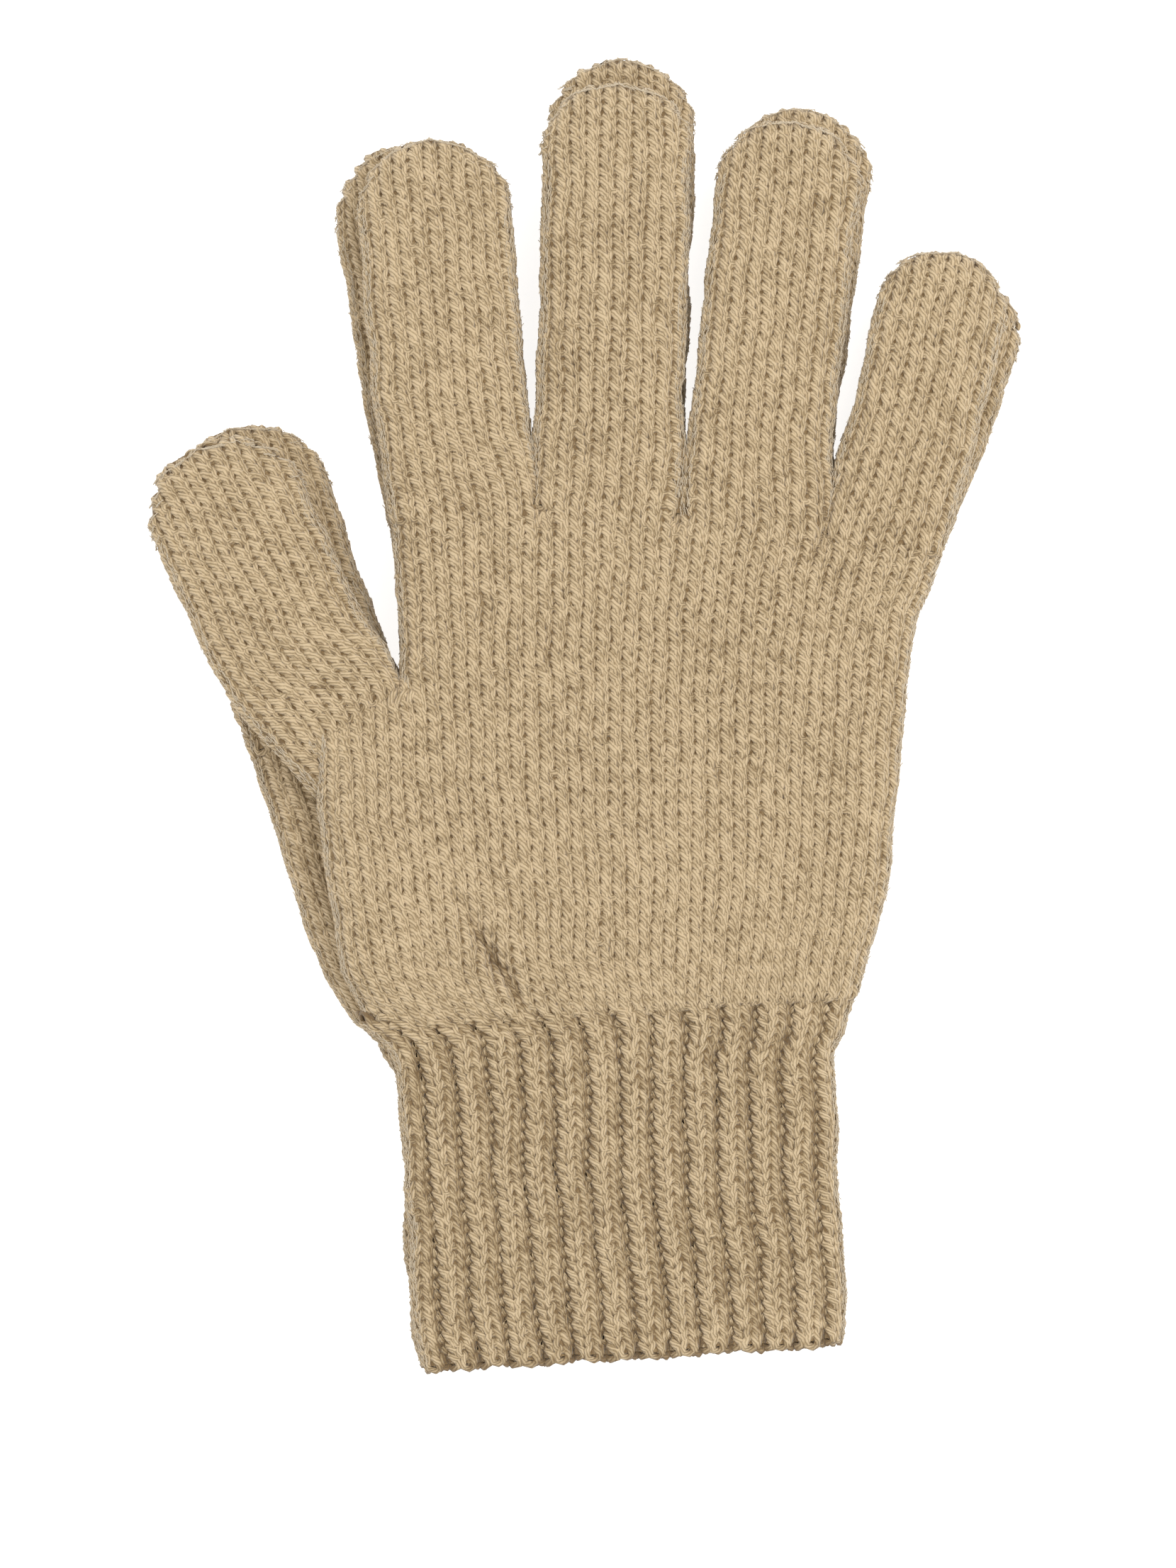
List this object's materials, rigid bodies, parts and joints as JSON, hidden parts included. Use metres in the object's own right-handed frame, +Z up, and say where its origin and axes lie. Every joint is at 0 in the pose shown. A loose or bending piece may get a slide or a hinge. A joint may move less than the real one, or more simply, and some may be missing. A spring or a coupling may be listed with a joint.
{
  "type": "pair of knitted gloves",
  "caption": "Pair of plain knitted gloves lying flat on each other, with ribbed cuffs, separate fingers and thumbs, hollow inside.",
  "frame": {"origin": "under the middle of the pair's box, on the surface that the lower glove lies on", "axes": "+Y towards the fingertips, -X towards the thumbs, +Z up through both gloves, away from the surface"},
  "size_m": [0.1661, 0.2513, 0.0191],
  "materials": {
    "plain_knit": "matte plain knit in a two-ply beige marl wool, slightly fuzzy",
    "rib_knit": "matte ribbed knit in the same two-ply beige marl wool",
    "closing_yarn": "matte twisted yarn of the same wool"
  },
  "bodies": {
    "lower_glove_hand": {"lower_hand": "plain_knit", "lower_crotch_stitches": "closing_yarn"},
    "lower_glove_cuff": {"lower_cuff": "rib_knit", "lower_cuff_edge": "rib_knit"},
    "lower_glove_thumb": {"lower_thumb": "plain_knit", "lower_thumb_tip_stitch": "closing_yarn"},
    "lower_glove_index": {"lower_index_finger": "plain_knit", "lower_index_tip_stitch": "closing_yarn"},
    "lower_glove_middle": {"lower_middle_finger": "plain_knit", "lower_middle_tip_stitch": "closing_yarn"},
    "lower_glove_ring": {"lower_ring_finger": "plain_knit", "lower_ring_tip_stitch": "closing_yarn"},
    "lower_glove_little": {"lower_little_finger": "plain_knit", "lower_little_tip_stitch": "closing_yarn"},
    "upper_glove_hand": {"upper_hand": "plain_knit", "upper_crotch_stitches": "closing_yarn"},
    "upper_glove_cuff": {"upper_cuff": "rib_knit", "upper_cuff_edge": "rib_knit"},
    "upper_glove_thumb": {"upper_thumb": "plain_knit", "upper_thumb_tip_stitch": "closing_yarn"},
    "upper_glove_index": {"upper_index_finger": "plain_knit", "upper_index_tip_stitch": "closing_yarn"},
    "upper_glove_middle": {"upper_middle_finger": "plain_knit", "upper_middle_tip_stitch": "closing_yarn"},
    "upper_glove_ring": {"upper_ring_finger": "plain_knit", "upper_ring_tip_stitch": "closing_yarn"},
    "upper_glove_little": {"upper_little_finger": "plain_knit", "upper_little_tip_stitch": "closing_yarn"}
  },
  "joints": [
    {"name": "lower_cuff_fold", "type": "hinge", "parent": "lower_glove_hand", "child": "lower_glove_cuff", "pos_m": [0.0042, -0.0608, 0], "axis": [-0.9987, -0.0506, 0], "range_deg": [-80, 0]},
    {"name": "lower_thumb_bend", "type": "hinge", "parent": "lower_glove_hand", "child": "lower_glove_thumb", "pos_m": [-0.0502, -0.0022, 0], "axis": [0.9483, 0.3173, 0], "range_deg": [-60, 0]},
    {"name": "lower_index_bend", "type": "hinge", "parent": "lower_glove_hand", "child": "lower_glove_index", "pos_m": [-0.0246, 0.0362, 0], "axis": [0.9877, 0.1564, 0], "range_deg": [-80, 0]},
    {"name": "lower_middle_bend", "type": "hinge", "parent": "lower_glove_hand", "child": "lower_glove_middle", "pos_m": [0.0035, 0.0367, 0], "axis": [0.9993, -0.0384, 0], "range_deg": [-80, 0]},
    {"name": "lower_ring_bend", "type": "hinge", "parent": "lower_glove_hand", "child": "lower_glove_ring", "pos_m": [0.0316, 0.0357, 0], "axis": [0.9903, -0.1392, 0], "range_deg": [-80, 0]},
    {"name": "lower_little_bend", "type": "hinge", "parent": "lower_glove_hand", "child": "lower_glove_little", "pos_m": [0.0572, 0.0316, 0], "axis": [0.9455, -0.3256, 0], "range_deg": [-80, 0]},
    {"name": "upper_cuff_fold", "type": "hinge", "parent": "upper_glove_hand", "child": "upper_glove_cuff", "pos_m": [0.0042, -0.0608, 0.0191], "axis": [-0.9979, -0.0645, 0], "range_deg": [0, 80]},
    {"name": "upper_thumb_bend", "type": "hinge", "parent": "upper_glove_hand", "child": "upper_glove_thumb", "pos_m": [-0.0502, -0.0022, 0.0191], "axis": [0.91, 0.4147, 0], "range_deg": [0, 60]},
    {"name": "upper_index_bend", "type": "hinge", "parent": "upper_glove_hand", "child": "upper_glove_index", "pos_m": [-0.0246, 0.0362, 0.0191], "axis": [0.9968, 0.0802, 0], "range_deg": [0, 80]},
    {"name": "upper_middle_bend", "type": "hinge", "parent": "upper_glove_hand", "child": "upper_glove_middle", "pos_m": [0.0035, 0.0367, 0.0191], "axis": [0.9996, -0.0279, 0], "range_deg": [0, 80]},
    {"name": "upper_ring_bend", "type": "hinge", "parent": "upper_glove_hand", "child": "upper_glove_ring", "pos_m": [0.0316, 0.0357, 0.0191], "axis": [0.9942, -0.108, 0], "range_deg": [0, 80]},
    {"name": "upper_little_bend", "type": "hinge", "parent": "upper_glove_hand", "child": "upper_glove_little", "pos_m": [0.0572, 0.0316, 0.0191], "axis": [0.9724, -0.2334, 0], "range_deg": [0, 80]},
    {"name": "upper_glove_lift", "type": "slide", "parent": "lower_glove_hand", "child": "upper_glove_hand", "axis": [0, 0, 1], "range_m": [0, 0.12]}
  ]
}
